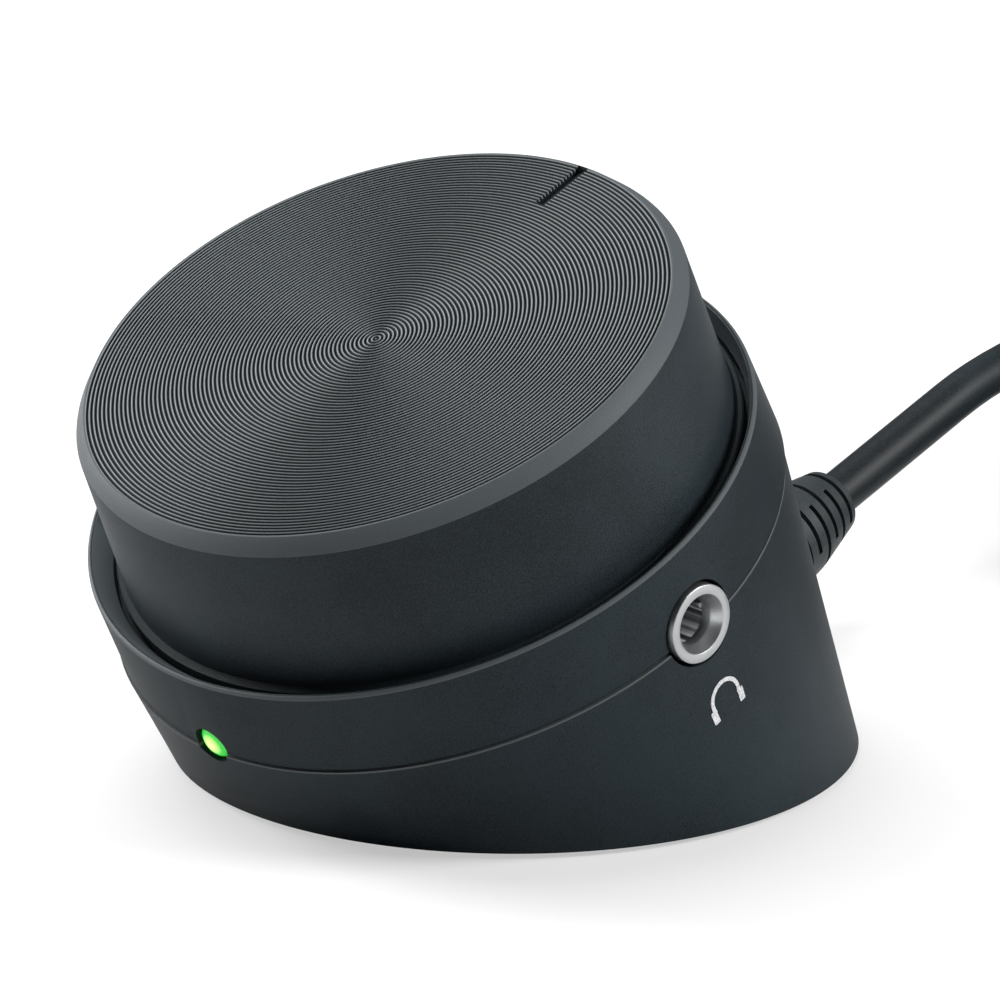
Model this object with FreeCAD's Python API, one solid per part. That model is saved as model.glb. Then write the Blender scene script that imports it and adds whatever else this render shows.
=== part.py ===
import FreeCAD, Part
import math
import os

# Wired desktop volume control: a big knob on a leaning round base, with a headphone jack.
# Millimetres. The origin is the centre of the base's footprint, on the desk. +Z is up,
# +Y points to the cable at the back and +X to the side with the headphone jack.

os.makedirs("parts", exist_ok=True)

# ---- stance of the tilted deck that carries the knob ----
deck_tilt = 25.75               # lean of the knob axis towards the front, degrees
knob_edge_y = -16.1             # where the knob axis crosses the lower edge of its bevel
knob_edge_z = 35.05
desk_gap = 0.35                 # lower edge of the shell above the desk, on the rubber ring

# ---- round outlines, each from the one inside it, so that the pod follows its knob ----
knob_radius = 24.0              # at the lower edge of the bevel
knob_side_flare = 0.4
knob_foot_step = 0.5
moat_gap = 0.35                 # between the foot of the knob and the lip around it
rim_width = 1.25                # from the lip to the outside of the rim
seam_flare = 0.2
foot_flare = 0.3
jack_stand_out = 0.25           # face of the jack's ring in front of the wall
knob_side_radius = knob_radius + knob_side_flare
knob_foot_radius = knob_side_radius + knob_foot_step
lip_radius = knob_foot_radius + moat_gap
rim_radius = lip_radius + rim_width
seam_radius = rim_radius + seam_flare
foot_radius = seam_radius + foot_flare
jack_face_radius = seam_radius + jack_stand_out

# ---- shells, given along the knob axis from the lower edge of the bevel ----
seam_drop = 18.2
seam_shift = -0.2               # centre of the seam circle, along the deck towards the back
seam_gap = 0.16
seam_chamfer = 0.15             # broken lower edge of the upper shell
rim_drop = 10.9
rim_shift = -0.46
rim_land = 0.7                  # width of the rounded crest of the rim
rim_round = 0.3
lip_drop = 12.7
deck_drop = 13.9
deck_thickness = 1.2
shell_wall = 1.8
floor_thickness = 1.4
wall_reach = 6.0                # how far a hole's cutter reaches inside and outside the wall
tongue_depth = 2.2
tongue_thickness = 1.0
tongue_taper = 0.55
tongue_clearance = 0.15

# ---- knob ----
bevel_height = 1.2
bevel_width = 0.95
knob_side_height = 12.2
knob_foot_height = 1.1
knob_wall = 1.7
knob_top = 2.2
groove_count = 68
groove_depth = 0.16
groove_margin = 0.15            # plain strip between the last groove and the bevel
slot_angle = 81.5               # pointer slot, anticlockwise from +X seen from above
slot_start = 18.1
slot_width = 1.05
slot_depth = 0.7
socket_radius = 7.2
socket_wall = 1.4
socket_clearance = 0.05
hub_height = 7.0

# ---- potentiometer ----
shaft_radius = 3.0
shaft_flat = 1.5
shaft_flat_length = 6.5
shaft_tip_drop = 3.2
shaft_clearance = 0.05
pot_radius = 8.0
pot_wall = 0.8
pot_height = 6.4
rotor_radius = 6.7
rotor_thickness = 1.4
track_thickness = 0.6
bushing_radius = 3.5
bushing_height = 5.0            # standing above the top of the deck
panel_clearance = 0.15
washer_radius = 6.0
washer_thickness = 0.5
nut_across_flats = 10.0
nut_thickness = 2.0
inner_gap = 0.3                 # running gap around the rotor and the shaft's ends

# ---- circuit board ----
board_gap = 0.1                 # between the deck's underside and the tallest board parts
board_radius = seam_radius - 7.2
board_shift = 1.5
board_thickness = 1.2
board_screw_x = 8.0
board_screw_back = 15.0
board_screw_front_x = -10.0
board_screw_front = -11.0
board_boss_radius = 2.2
board_screw_radius = 1.0
board_screw_length = 5.0
board_screw_head_radius = 1.9
board_screw_head_height = 1.2
screw_clearance = 0.15

# ---- headphone jack, 3.5 mm ----
jack_angle = -6.45
jack_drop = 17.75
jack_ring_radius = 3.05
jack_bore_radius = 1.85
jack_mouth_radius = 2.3
jack_mouth_depth = 0.9
jack_ring_length = 3.9
jack_body_length = 11.0
jack_body_width = 8.5
jack_end_wall = 0.7
jack_hole_radius = 3.35
contact_width = 1.8
contact_thickness = 0.35
contact_length = 5.0
contact_gap = 0.05              # between the leaf springs and a plug in the bore

# ---- power light ----
light_angle = 263.7
light_drop = 17.85
light_hole_radius = 1.6
light_pipe_radius = 1.5
light_face_depth = 0.45         # dome's tip behind the wall
light_collar_radius = 2.3
light_collar_thickness = 1.0
emitter_gap = 0.3
emitter_radius = 1.25
emitter_length = 2.6
emitter_base = 3.2

# ---- base ----
post_places = [(-17.0, 0.0), (17.0, 3.0), (4.5, -18.9)]
post_radius = 3.0
post_foot_z = 4.5
pillar_radius = 3.6
case_screw_radius = 1.3
case_screw_length = 12.0
case_screw_head_radius = 2.1
case_screw_head_height = 1.4
case_screw_seat_z = 3.1
counterbore_clearance = 0.2
ring_margin = 1.6               # rubber ring behind the base's outline
ring_width = 3.6
ring_outer_radius = foot_radius - ring_margin
ring_inner_radius = ring_outer_radius - ring_width
ring_thickness = 1.0
ballast_margin = 1.2            # between the plate and the rubber ring's inner edge
ballast_radius = ring_inner_radius - ballast_margin
ballast_thickness = 3.4
ballast_back = 9.0
ballast_hole_clearance = 0.3

# ---- cable and its strain relief ----
cable_rise = 15.7               # lift of the cable's axis above level, degrees
relief_root_z = 5.55            # where the cable's axis leaves the back wall
relief_length = 17.0
cable_radius = 1.9
relief_tip_radius = 2.7
relief_mid_radius = 4.0
relief_root_radius = 4.5
relief_tip_round = 0.4
relief_taper = 5.6              # steeper stretch next to the tip
relief_slot_count = 8
relief_slot_pitch = 1.45
relief_slot_width = 0.5
relief_slot_start = 1.0         # from the tip to the first slot
relief_slot_core = 2.3
relief_bridge_offset = 1.9      # solid side of each slot, from the axis
relief_bridge_turn = -22.0
relief_neck_radius = 2.7
relief_neck_clearance = 0.05
relief_flange_radius = 4.0
relief_flange_thickness = 1.3
sheath_inner_end = 1.6          # sheath inside the case, past the flange
crimp_radius = 2.3
crimp_length = 1.2

# ---- free part of the cable ----
first_run = 24.0                # straight out of the relief, along its axis
crest_points = [(0.0, 80.0, 17.2)]
coil_centre_x = 25.8
coil_centre_y = 94.0
coil_bottom = 0.6
coil_mean_radius = 22.0
coil_columns = 3
coil_rows = 4
coil_slack = 0.2
coil_notch_clearance = 0.3
tail_points = [(52.6, 79.0, 2.9), (52.2, 67.0, 5.6), (52.2, 59.0, 5.6)]
arc_share = 0.45
tie_width = 8.0
tie_thickness = 0.6
tie_angle = 62.0

# ---- plug on the cable's end ----
grip_radius = 5.6
grip_length = 20.0
grip_neck_radius = 3.2
grip_neck_length = 5.0
grip_ridge_count = 5
grip_ridge_pitch = 2.0
grip_ridge_depth = 0.5
plug_shell_radius = 4.75
plug_shell_wall = 0.4
plug_shell_length = 8.5
plug_core_length = 2.5
pin_radius = 0.4
pin_circle = 2.6
pin_count = 6
pin_length = 5.0
key_width = 2.2
key_height = 1.1

# ---- small board parts and inner wires ----
socket_width = 8.0
socket_depth = 4.6
socket_height = 4.0
socket_x = -5.0
socket_back = 8.0
wire_plug_height = 3.0
wire_radius = 0.4
wire_pitch = 1.7
wire_sheath_pitch = 0.85
wire_count = 4
wire_lead = 6.0
wire_rise = 5.0
wire_seat = 0.15                # gap between the wires and the cut end of the sheath
capacitor_radius = 2.5
capacitor_height = 5.0
capacitor_places = [(6.5, 9.5), (11.5, 4.0)]
chip_size = (5.0, 4.0, 1.5)
chip_places = [(1.0, -3.0), (-9.0, 0.0)]
resistor_size = (2.0, 1.2, 0.6)
resistor_places = [(5.0, -2.0), (5.0, 0.5), (5.0, 3.0), (-3.0, -9.0), (0.5, -9.0), (4.0, -9.0)]


Vec = FreeCAD.Vector
zero = Vec(0, 0, 0)
x_axis = Vec(1, 0, 0)
z_axis = Vec(0, 0, 1)
far = 200.0                     # size of the half-spaces that trim other pieces

deck_place = FreeCAD.Placement(Vec(0, knob_edge_y, knob_edge_z), FreeCAD.Rotation(x_axis, deck_tilt))
seam_back = deck_place.multVec(Vec(0, seam_radius + seam_shift, -seam_drop))
wall_lean = (foot_radius - seam_back.y) / seam_back.z
cable_place = FreeCAD.Placement(Vec(0, foot_radius - relief_root_z * wall_lean, relief_root_z),
                                FreeCAD.Rotation(x_axis, cable_rise - 90))

# ---- heights along the knob axis that follow from the sizes above ----
face_height = bevel_height
face_radius = knob_radius - bevel_width
knob_bottom = -(knob_side_height + knob_foot_height)
deck_top = -deck_drop
deck_under = deck_top - deck_thickness
board_top = deck_under - board_gap - pot_height
board_under = board_top - board_thickness
pot_top = board_top + pot_height
floor_top = desk_gap + floor_thickness
seam_height = -seam_drop


def on_deck(shape):
    """Moves a shape from the deck's own axes to the pod's axes."""
    moved = shape.copy()
    moved.Placement = deck_place.multiply(moved.Placement)
    return moved


def on_cable(shape):
    """Moves a shape built along +Z to the axis of the cable where it leaves the shell."""
    moved = shape.copy()
    moved.Placement = cable_place.multiply(moved.Placement)
    return moved


def around_deck(shape, angle, height):
    """Turns a shape built along +X to an angle of the deck and lifts it to a height."""
    moved = shape.copy()
    moved.rotate(zero, z_axis, angle)
    moved.translate(Vec(0, 0, height))
    return on_deck(moved)


def rod(radius, bottom, top, x=0.0, y=0.0):
    return Part.makeCylinder(radius, top - bottom, Vec(x, y, bottom), z_axis)


def tube(outer, inner, bottom, top, x=0.0, y=0.0):
    return rod(outer, bottom, top, x, y).cut(rod(inner, bottom - 1, top + 1, x, y))


def rod_out(radius, start, end):
    return Part.makeCylinder(radius, end - start, Vec(start, 0, 0), x_axis)


def block(x0, x1, y0, y1, z0, z1):
    return Part.makeBox(x1 - x0, y1 - y0, z1 - z0, Vec(x0, y0, z0))


def spin(profile):
    """Solid of revolution about Z from a closed list of (radius, height)."""
    points = [Vec(radius, 0, height) for radius, height in profile]
    face = Part.Face(Part.makePolygon(points + points[:1]))
    return face.revolve(zero, z_axis, 360)


def ring_wire(radius, height, shift=0.0):
    circle = Part.Edge(Part.Circle(Vec(0, shift, height), z_axis, radius))
    return Part.Wire([circle])


def foot_wire(radius):
    circle = Part.Edge(Part.Circle(zero, z_axis, radius))
    return Part.Wire([circle])


def deck_wire(radius, height, shift):
    wire = ring_wire(radius, height, shift)
    wire.Placement = deck_place
    return wire


def skin(first, second):
    return Part.makeLoft([first, second], True, True)


def joined(pieces):
    whole = pieces[0]
    for piece in pieces[1:]:
        whole = whole.fuse(piece)
    return whole.removeSplitter()


def trimmed(shape, tools):
    for tool in tools:
        shape = shape.cut(tool)
    return shape


def save(name, pieces):
    shape = pieces[0] if len(pieces) == 1 else Part.makeCompound(pieces)
    volume = sum(solid.Volume for solid in shape.Solids)
    print(name, "solids", len(shape.Solids), "volume", round(volume, 2), "valid", shape.isValid())
    shape.exportStep("parts/" + name + ".step")
    return shape


# ---- outer form of the two shells ----

def lower_form(inset):
    """The base between the desk and the seam, its walls moved in by the inset."""
    seam = deck_wire(seam_radius - inset, seam_height, seam_shift)
    return skin(foot_wire(foot_radius - inset), seam)


def wall_hole(radius, angle, drop):
    """Cutter for a round hole through the wall, at an angle of the deck and a drop."""
    cutter = rod_out(radius, seam_radius - wall_reach, seam_radius + wall_reach)
    return around_deck(cutter, angle, -drop)


def jack_hole():
    return wall_hole(jack_hole_radius, jack_angle, jack_drop)


def light_hole():
    return wall_hole(light_hole_radius, light_angle, light_drop)


def light_collar_pocket():
    start = light_collar_start()
    pocket = rod_out(light_collar_radius + inner_gap, start - inner_gap, start + light_collar_thickness)
    return around_deck(pocket, light_angle, -light_drop)


def light_collar_start():
    return seam_radius - shell_wall - light_collar_thickness - tongue_clearance


def case_post(x, y):
    """Screw post under the deck, from the pillar on the floor up into the deck."""
    roof = on_deck(block(-far, far, -far, far, deck_top - deck_thickness / 2, far))
    return rod(post_radius, post_foot_z, far, x, y).cut(roof)


def board_screw_places():
    return [(-board_screw_x, board_screw_back), (board_screw_x, board_screw_back),
            (board_screw_front_x, board_screw_front)]


# ---- upper shell ----

def edges_at(shape, height):
    """The outline of a round form at a height of the deck's own axes."""
    return [edge for edge in shape.Edges if abs(edge.CenterOfMass.z - height) < 0.01][:1]


def make_upper_shell():
    crest = skin(ring_wire(seam_radius, seam_height + seam_gap / 2, seam_shift),
                 ring_wire(rim_radius, -rim_drop, rim_shift))
    rounded = crest.makeFillet(rim_round, edges_at(crest, -rim_drop))
    rounded = rounded.makeChamfer(seam_chamfer, edges_at(rounded, seam_height + seam_gap / 2))
    slope = skin(ring_wire(lip_radius, -lip_drop, 0.0),
                 ring_wire(rim_radius - rim_land, -rim_drop + 0.001, rim_shift))
    well = rod(lip_radius, deck_top, -lip_drop + 0.001)
    under = skin(ring_wire(seam_radius - shell_wall, seam_height - 1, seam_shift),
                 ring_wire(seam_radius - shell_wall, deck_under, seam_shift))
    shaft_hole = rod(bushing_radius + panel_clearance, deck_under - 1, deck_top + 1)
    body = trimmed(rounded, [slope, well, under, shaft_hole])
    for x, y in board_screw_places():
        body = body.fuse(rod(board_boss_radius, board_top, deck_under, x, y))
    body = on_deck(body)
    body = body.fuse(make_tongue())
    for x, y in post_places:
        body = body.fuse(case_post(x, y))
    for x, y in post_places:
        pilot_top = case_screw_seat_z + case_screw_length + 1
        body = body.cut(rod(case_screw_radius + screw_clearance, 0, pilot_top, x, y))
    pilots = [rod(board_screw_radius + screw_clearance, board_top - 1,
                  board_under + board_screw_length + 0.5, x, y) for x, y in board_screw_places()]
    tools = [on_deck(pilot) for pilot in pilots]
    tools += [jack_hole(), light_hole(), light_collar_pocket()]
    return trimmed(body, tools).removeSplitter()


def make_tongue():
    """Lip of the upper shell that reaches down inside the lower shell, tapered to clear its wall."""
    wall = seam_radius - shell_wall
    outer = wall - tongue_clearance
    inner = outer - tongue_thickness
    step = seam_height + seam_gap
    top = deck_under + deck_thickness / 2
    anchor = wall + shell_wall / 4
    tip = seam_height - tongue_depth
    profile = [(inner, top), (anchor, top), (anchor, step), (outer, step), (outer - tongue_taper, tip),
               (inner, tip)]
    ring = spin(profile)
    ring.translate(Vec(0, seam_shift, 0))
    return on_deck(ring)


# ---- lower shell ----

def make_lower_shell():
    outer = lower_form(0.0)
    seam_plane = on_deck(block(-far, far, -far, far, seam_height - seam_gap / 2, far))
    under_desk = block(-far, far, -far, far, -far, desk_gap)
    body = trimmed(outer, [seam_plane, under_desk])
    cavity = lower_form(shell_wall).cut(block(-far, far, -far, far, -far, floor_top))
    body = body.cut(cavity)
    for x, y in post_places:
        body = body.fuse(rod(pillar_radius, desk_gap, post_foot_z, x, y))
    recess = tube(ring_outer_radius, ring_inner_radius, 0, ring_thickness)
    tools = [recess, jack_hole(), light_hole()]
    for x, y in post_places:
        tools.append(rod(case_screw_head_radius + counterbore_clearance, 0, case_screw_seat_z, x, y))
        tools.append(rod(case_screw_radius + screw_clearance, 0, post_foot_z + 1, x, y))
    tools.append(on_cable(rod(relief_neck_radius + relief_neck_clearance, relief_inner_end(), 5)))
    return trimmed(body, tools).removeSplitter()


# ---- knob ----

def make_knob_cap():
    pitch = (face_radius - groove_margin) / groove_count
    profile = [(0.0, face_height - knob_top), (0.0, face_height)]
    for groove in range(groove_count):
        profile.append(((groove + 0.5) * pitch, face_height - groove_depth))
        profile.append(((groove + 1) * pitch, face_height))
    profile += [(face_radius, face_height), (knob_radius, 0.0)]
    profile += [(knob_side_radius, -knob_side_height), (knob_foot_radius, -knob_side_height - 0.001)]
    profile += [(knob_foot_radius, knob_bottom), (knob_side_radius - knob_wall, knob_bottom)]
    profile += [(knob_radius - knob_wall, face_height - knob_top)]
    cap = spin(profile)
    collar = tube(socket_radius + socket_wall, socket_radius, face_height - knob_top - hub_height,
                  face_height - knob_top)
    slot = block(slot_start, face_radius, -slot_width / 2, slot_width / 2,
                 face_height - slot_depth, face_height + 1)
    slot.rotate(zero, z_axis, slot_angle)
    return on_deck(cap.fuse(collar).cut(slot))


def shaft_bore(extra):
    """Round bore with one flat, as wide as the shaft plus a clearance."""
    bore = rod(shaft_radius + extra, -far, -shaft_tip_drop + extra)
    flat = block(-far, far, shaft_radius - shaft_flat + extra, far,
                 -shaft_tip_drop - shaft_flat_length - extra, far)
    return bore.cut(flat)


def make_knob_hub():
    top = face_height - knob_top
    hub = rod(socket_radius - socket_clearance, top - hub_height, top)
    return on_deck(hub.cut(shaft_bore(socket_clearance)))


# ---- potentiometer ----

def pot_floor():
    return board_top + pot_wall


def make_pot_shaft():
    bottom = pot_floor() + track_thickness + inner_gap
    body = rod(shaft_radius, bottom, -shaft_tip_drop)
    flat = block(-far, far, shaft_radius - shaft_flat, far, -shaft_tip_drop - shaft_flat_length, far)
    return on_deck(body.cut(flat))


def make_pot_rotor():
    bottom = pot_floor() + track_thickness + inner_gap
    return on_deck(tube(rotor_radius, shaft_radius, bottom, bottom + rotor_thickness))


def make_pot_housing():
    shell = rod(pot_radius, board_top, pot_top)
    chamber = rod(pot_radius - pot_wall, pot_floor(), pot_top - pot_wall)
    top_hole = rod(bushing_radius, pot_top - 2 * pot_wall, pot_top + 1)
    return on_deck(trimmed(shell, [chamber, top_hole]))


def make_pot_track():
    return on_deck(rod(pot_radius - pot_wall, pot_floor(), pot_floor() + track_thickness))


def make_pot_bushing():
    bottom = pot_top - pot_wall
    return on_deck(tube(bushing_radius, shaft_radius + shaft_clearance, bottom, deck_top + bushing_height))


def make_pot_washer():
    return on_deck(tube(washer_radius, bushing_radius + shaft_clearance, deck_top,
                        deck_top + washer_thickness))


def make_pot_nut():
    bottom = deck_top + washer_thickness
    corner = nut_across_flats / 2 / math.cos(math.radians(30))
    corners = []
    for side in range(7):
        turn = math.radians(60 * side)
        corners.append(Vec(corner * math.cos(turn), corner * math.sin(turn), bottom))
    prism = Part.Face(Part.makePolygon(corners)).extrude(Vec(0, 0, nut_thickness))
    hole = rod(bushing_radius + shaft_clearance, bottom - 1, bottom + nut_thickness + 1)
    return on_deck(prism.cut(hole))


# ---- circuit board and what stands on it ----

def make_main_board():
    board = on_deck(rod(board_radius, board_under, board_top, 0, board_shift))
    for x, y in post_places:
        board = board.cut(rod(post_radius + inner_gap, 0, far, x, y))
    for x, y in board_screw_places():
        board = board.cut(on_deck(rod(board_screw_radius + screw_clearance, -far, 0, x, y)))
    return board


def make_board_screws():
    screws = []
    for x, y in board_screw_places():
        shank = rod(board_screw_radius, board_under, board_under + board_screw_length, x, y)
        head = rod(board_screw_head_radius, board_under - board_screw_head_height, board_under, x, y)
        screws.append(on_deck(shank.fuse(head).removeSplitter()))
    return screws


def make_board_chips():
    length, width, height = chip_size
    chips = []
    for x, y in chip_places:
        chips.append(on_deck(block(x - length / 2, x + length / 2, y - width / 2, y + width / 2,
                                   board_under - height, board_under)))
    return chips


def make_board_resistors():
    length, width, height = resistor_size
    chips = []
    for x, y in resistor_places:
        chips.append(on_deck(block(x - length / 2, x + length / 2, y - width / 2, y + width / 2,
                                   board_under - height, board_under)))
    return chips


def make_capacitors():
    return [on_deck(rod(capacitor_radius, board_under - capacitor_height, board_under, x, y))
            for x, y in capacitor_places]


def make_wire_socket():
    return on_deck(block(socket_x - socket_width / 2, socket_x + socket_width / 2,
                         socket_back - socket_depth / 2, socket_back + socket_depth / 2,
                         board_under - socket_height, board_under))


def make_wire_plug():
    top = board_under - socket_height
    return on_deck(block(socket_x - socket_width / 2, socket_x + socket_width / 2,
                         socket_back - socket_depth / 2, socket_back + socket_depth / 2,
                         top - wire_plug_height, top))


# ---- headphone jack ----

def jack_front():
    return jack_face_radius - jack_ring_length


def jack_back():
    return jack_front() - jack_body_length


def jack_bore():
    return rod_out(jack_bore_radius, jack_back() + jack_end_wall, jack_face_radius + 1)


def make_jack_ring():
    ring = rod_out(jack_ring_radius, jack_front(), jack_face_radius)
    mouth = Part.makeCone(jack_bore_radius, jack_mouth_radius, jack_mouth_depth,
                          Vec(jack_face_radius - jack_mouth_depth, 0, 0), x_axis)
    return around_deck(trimmed(ring, [jack_bore(), mouth]), jack_angle, -jack_drop)


def contact_leaf(inner, outer, extra):
    """One spring contact, or its pocket, along the bore on its upper side."""
    start = jack_back() + jack_end_wall + 1
    return block(start - extra, start + contact_length + extra, -contact_width / 2 - extra,
                 contact_width / 2 + extra, inner, outer)


def around_bore(leaf):
    """The leaf at both sides of the bore and below it."""
    turned = []
    for turn in (90, -90, 180):
        copy = leaf.copy()
        copy.rotate(zero, x_axis, turn)
        turned.append(copy)
    return turned


def make_jack_body():
    lower = board_top + jack_drop
    upper = deck_under - board_gap + jack_drop
    body = block(jack_back(), jack_front(), -jack_body_width / 2, jack_body_width / 2, lower, upper)
    body = body.cut(jack_bore())
    pocket_roof = jack_bore_radius + 2 * contact_gap + contact_thickness
    for pocket in around_bore(contact_leaf(jack_bore_radius / 2, pocket_roof, contact_gap)):
        body = body.cut(pocket)
    return around_deck(body, jack_angle, -jack_drop)


def make_jack_contacts():
    inner = jack_bore_radius + contact_gap
    leaves = around_bore(contact_leaf(inner, inner + contact_thickness, 0.0))
    return [around_deck(leaf, jack_angle, -jack_drop) for leaf in leaves]


# ---- power light ----

def make_light_pipe():
    start = light_collar_start()
    tip = seam_radius - light_face_depth
    dome_radius = 2 * light_pipe_radius
    bar = rod_out(light_pipe_radius, start - 3, tip)
    dome = Part.makeSphere(dome_radius, Vec(tip - dome_radius, 0, 0))
    bar = bar.common(dome.fuse(rod_out(light_pipe_radius + 1, start - 4, tip - 1)))
    collar = rod_out(light_collar_radius, start, start + light_collar_thickness)
    return around_deck(bar.fuse(collar).removeSplitter(), light_angle, -light_drop)


def make_light_emitter():
    tip = light_collar_start() - 3 - emitter_gap
    bar = rod_out(emitter_radius, tip - emitter_length, tip - emitter_radius)
    dome = Part.makeSphere(emitter_radius, Vec(tip - emitter_radius, 0, 0))
    return around_deck(bar.fuse(dome).removeSplitter(), light_angle, -light_drop)


def make_light_holder():
    front = light_collar_start() - 3 - emitter_gap - emitter_length
    lower = board_top + light_drop
    holder = block(front - emitter_base, front, -emitter_base / 2, emitter_base / 2,
                   lower, emitter_radius + 0.5)
    return around_deck(holder, light_angle, -light_drop)


# ---- base ----

def make_case_screws():
    screws = []
    for x, y in post_places:
        shank = rod(case_screw_radius, case_screw_seat_z, case_screw_seat_z + case_screw_length, x, y)
        head = rod(case_screw_head_radius, case_screw_seat_z - case_screw_head_height,
                   case_screw_seat_z, x, y)
        screws.append(shank.fuse(head).removeSplitter())
    return screws


def make_rubber_ring():
    return tube(ring_outer_radius, ring_inner_radius, 0, ring_thickness)


def make_ballast():
    plate = rod(ballast_radius, floor_top, floor_top + ballast_thickness)
    plate = plate.cut(block(-far, far, ballast_back, far, 0, far))
    for x, y in post_places:
        plate = plate.cut(rod(pillar_radius + ballast_hole_clearance, 0, far, x, y))
    return plate


# ---- strain relief and the sheath that it is moulded on ----

def relief_inner_end():
    wall_depth = shell_wall / math.cos(math.radians(cable_rise))
    return -(wall_depth + relief_flange_thickness + inner_gap)


def make_strain_relief():
    flange_start = relief_inner_end()
    flange_end = flange_start + relief_flange_thickness
    waist = relief_length - relief_taper
    root = -shell_wall
    profile = [(0.0, root), (relief_root_radius, root), (relief_root_radius, waist / 2),
               (relief_mid_radius, waist),
               (relief_tip_radius + relief_tip_round / 2, relief_length - relief_tip_round),
               (relief_tip_radius - relief_tip_round / 2, relief_length), (0.0, relief_length)]
    body = spin(profile)
    for index in range(relief_slot_count):
        body = body.cut(relief_slot(index))
    body = on_cable(body).cut(lower_form(0.0))
    neck = rod(relief_neck_radius, flange_start, 0.5)
    flange = rod(relief_flange_radius, flange_start, flange_end)
    below_floor = block(-far, far, -far, far, -far, floor_top + inner_gap)
    body = joined([body, on_cable(neck), on_cable(flange).cut(below_floor)])
    return body.cut(on_cable(rod(cable_radius, flange_start - 1, relief_length + 1)))


def relief_slot(index):
    """Ring groove that leaves one side solid, on the other side for every second slot."""
    top = relief_length - relief_slot_start - index * relief_slot_pitch
    groove = tube(far, relief_slot_core, top - relief_slot_width, top)
    bridge = block(-far, far, relief_bridge_offset, far, -far, far)
    bridge.rotate(zero, z_axis, relief_bridge_turn + 180 * (index % 2))
    return groove.cut(bridge)


def make_cable_sheath():
    return on_cable(rod(cable_radius, relief_inner_end() - sheath_inner_end, relief_length))


def make_cable_crimp():
    top = relief_inner_end()
    return on_cable(tube(crimp_radius, cable_radius, top - crimp_length, top))


# ---- cords: straight runs joined by tangent arcs ----

def disc_at(point, direction, radius):
    return Part.Face(Part.Wire([Part.Edge(Part.Circle(point, direction, radius))]))


def cord_solid(name, points, radius):
    """A round cord along the points, each corner turned by an arc as large as its runs allow."""
    pieces = []
    start = points[0]
    length = 0.0
    radii = []
    for before, corner, after in zip(points, points[1:], points[2:]):
        into = (corner - before).normalize()
        onward = (after - corner).normalize()
        turn = into.getAngle(onward)
        reach = arc_share * min((corner - before).Length, (after - corner).Length)
        bend = reach / math.tan(turn / 2)
        arc_start = corner - into * reach
        arc_end = corner + onward * reach
        side = (onward - into * onward.dot(into)).normalize()
        run = (arc_start - start).Length
        pieces.append(Part.makeCylinder(radius, run, start, into))
        section = disc_at(arc_start, into, radius)
        pieces.append(section.revolve(arc_start + side * bend, into.cross(onward), math.degrees(turn)))
        length += run + bend * turn
        radii.append(round(bend, 1))
        start = arc_end
    last = points[-1] - start
    pieces.append(Part.makeCylinder(radius, last.Length, start, last.normalize()))
    length += (points[-1] - start).Length
    solid = joined(pieces)
    share = solid.Volume / (math.pi * radius ** 2 * length)
    print(name, "length", round(length, 1), "bend radii", radii, "volume over section x length",
          round(share, 4))
    return solid


def cable_point(distance):
    """Point of the relief's axis, measured from its root."""
    return cable_place.multVec(Vec(0, 0, distance))


def outer_turn_radius():
    return coil_mean_radius + (coil_columns - 1) * cable_radius


def coil_top():
    return coil_bottom + 2 * cable_radius * coil_rows


def run_route():
    """From the relief's tip over a low crest to the outermost turn of the coil's top row."""
    route = [cable_point(relief_length), cable_point(relief_length + first_run)]
    route += [Vec(x, y, z) for x, y, z in crest_points]
    route.append(Vec(coil_centre_x - outer_turn_radius(), coil_centre_y, coil_top() - cable_radius))
    return route


def tail_route():
    """From the outermost turn of the coil's bottom row to the plug."""
    start = Vec(coil_centre_x + outer_turn_radius(), coil_centre_y, coil_bottom + cable_radius)
    return [start] + [Vec(x, y, z) for x, y, z in tail_points]


def coil_form():
    half = coil_columns * cable_radius + coil_slack
    ring = tube(coil_mean_radius + half, coil_mean_radius - half, coil_bottom, coil_top(),
                coil_centre_x, coil_centre_y)
    return ring


def make_coil():
    """Outer form of the wound cable, with room where its two ends enter the winding."""
    run = cord_solid("entry notch", run_route(), cable_radius + coil_notch_clearance)
    tail = cord_solid("exit notch", tail_route(), cable_radius + coil_notch_clearance)
    return trimmed(coil_form(), [run, tail])


def make_coil_tie():
    half = coil_columns * cable_radius + coil_slack
    inner = coil_mean_radius - half - tie_thickness
    outer = coil_mean_radius + half + tie_thickness
    band = block(inner, outer, -tie_width / 2, tie_width / 2, coil_bottom - tie_thickness,
                 coil_top() + tie_thickness)
    band.rotate(zero, z_axis, tie_angle)
    band.translate(Vec(coil_centre_x, coil_centre_y, 0))
    return band.cut(coil_form())


# ---- plug ----

def at_plug(shape):
    """Lays a shape built along +Z on the desk, pointing to -Y from the end of the cable."""
    moved = shape.copy()
    moved.Placement = FreeCAD.Placement(Vec(*tail_points[-1]), FreeCAD.Rotation(x_axis, 90))
    return moved


def make_plug_grip():
    profile = [(0.0, 0.0), (grip_neck_radius, 0.0), (grip_neck_radius, grip_neck_length - 1),
               (grip_radius, grip_neck_length + 1)]
    for ridge in range(grip_ridge_count):
        base = grip_neck_length + 2 + ridge * grip_ridge_pitch
        profile += [(grip_radius, base), (grip_radius - grip_ridge_depth, base + grip_ridge_pitch / 4),
                    (grip_radius - grip_ridge_depth, base + grip_ridge_pitch / 2),
                    (grip_radius, base + 0.75 * grip_ridge_pitch)]
    profile += [(grip_radius, grip_length), (0.0, grip_length)]
    return at_plug(spin(profile))


def make_plug_shell():
    end = grip_length + plug_shell_length
    return at_plug(tube(plug_shell_radius, plug_shell_radius - plug_shell_wall, grip_length, end))


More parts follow.
